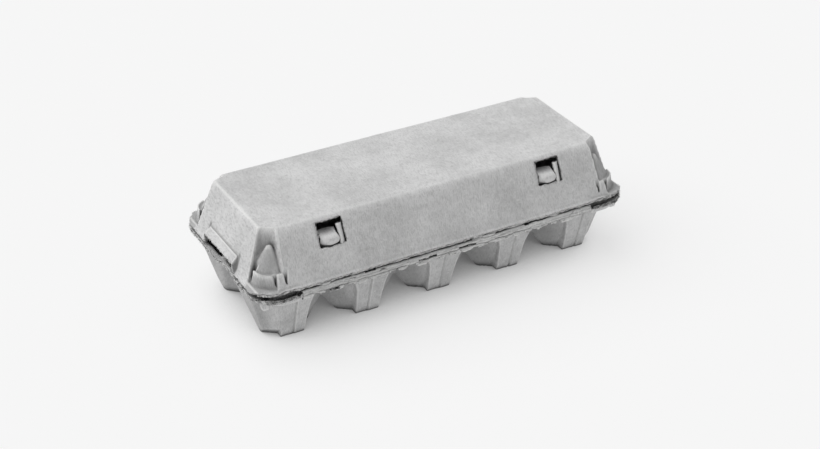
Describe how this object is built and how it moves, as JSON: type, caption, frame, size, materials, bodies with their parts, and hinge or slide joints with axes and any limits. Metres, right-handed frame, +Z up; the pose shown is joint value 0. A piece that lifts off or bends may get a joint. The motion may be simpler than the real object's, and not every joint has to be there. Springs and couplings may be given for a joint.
{
  "type": "egg carton",
  "caption": "Moulded pulp egg carton with two rows of cups, a hinged windowed lid and a lock flap whose two buttons latch it shut.",
  "frame": {"origin": "on the ground, under the middle of the closed carton", "axes": "+X along the rows of cups, +Y to the lid's hinge, +Z up"},
  "size_m": [0.249, 0.109, 0.0719],
  "materials": {
    "tray_pulp": "coarse grey moulded pulp",
    "lid_pulp": "grey moulded pulp, fine fibre mottling",
    "crease_pulp": "folded, frayed moulded pulp",
    "flap_pulp": "grey moulded pulp"
  },
  "bodies": {
    "tray": {"cup_front_1": "tray_pulp", "cup_front_2": "tray_pulp", "cup_front_3": "tray_pulp", "cup_front_4": "tray_pulp", "cup_front_5": "tray_pulp", "cup_rear_1": "tray_pulp", "cup_rear_2": "tray_pulp", "cup_rear_3": "tray_pulp", "cup_rear_4": "tray_pulp", "cup_rear_5": "tray_pulp", "centre_post_1": "tray_pulp", "centre_post_2": "tray_pulp", "centre_post_3": "tray_pulp", "centre_post_4": "tray_pulp", "tray_rim": "tray_pulp", "rear_crease": "crease_pulp", "front_crease": "crease_pulp"},
    "lid": {"lid_top": "lid_pulp", "lid_front_wall": "lid_pulp", "lid_rear_wall": "lid_pulp", "lid_left_end": "lid_pulp", "lid_right_end": "lid_pulp", "lid_corner_front_left": "lid_pulp", "lid_corner_front_right": "lid_pulp", "lid_corner_rear_left": "lid_pulp", "lid_corner_rear_right": "lid_pulp", "lid_front_rim": "lid_pulp", "lid_rear_rim": "lid_pulp", "left_finger_hood": "lid_pulp", "right_finger_hood": "lid_pulp"},
    "lock_flap": {"lock_flap": "flap_pulp"},
    "lock_button_left": {"lock_button_left": "flap_pulp"},
    "lock_button_right": {"lock_button_right": "flap_pulp"}
  },
  "joints": [
    {"name": "lid_hinge", "type": "hinge", "parent": "tray", "child": "lid", "pos_m": [0, 0.05351, 0.0386], "axis": [-1, 0, 0], "range_deg": [0, 180]},
    {"name": "flap_hinge", "type": "hinge", "parent": "tray", "child": "lock_flap", "pos_m": [0, -0.05351, 0.0386], "axis": [1, 0, 0], "range_deg": [0, 90]},
    {"name": "button_left_press", "type": "slide", "parent": "lock_flap", "child": "lock_button_left", "axis": [0, 1, 0], "range_m": [0, 0.003], "stiffness_N_per_m": 150, "springref_m": -0.001},
    {"name": "button_right_press", "type": "slide", "parent": "lock_flap", "child": "lock_button_right", "axis": [0, 1, 0], "range_m": [0, 0.003], "stiffness_N_per_m": 150, "springref_m": -0.001}
  ],
  "couplings": [
    {"joint": "flap_hinge", "follows": "lid_hinge", "ratio": 0.5}
  ]
}
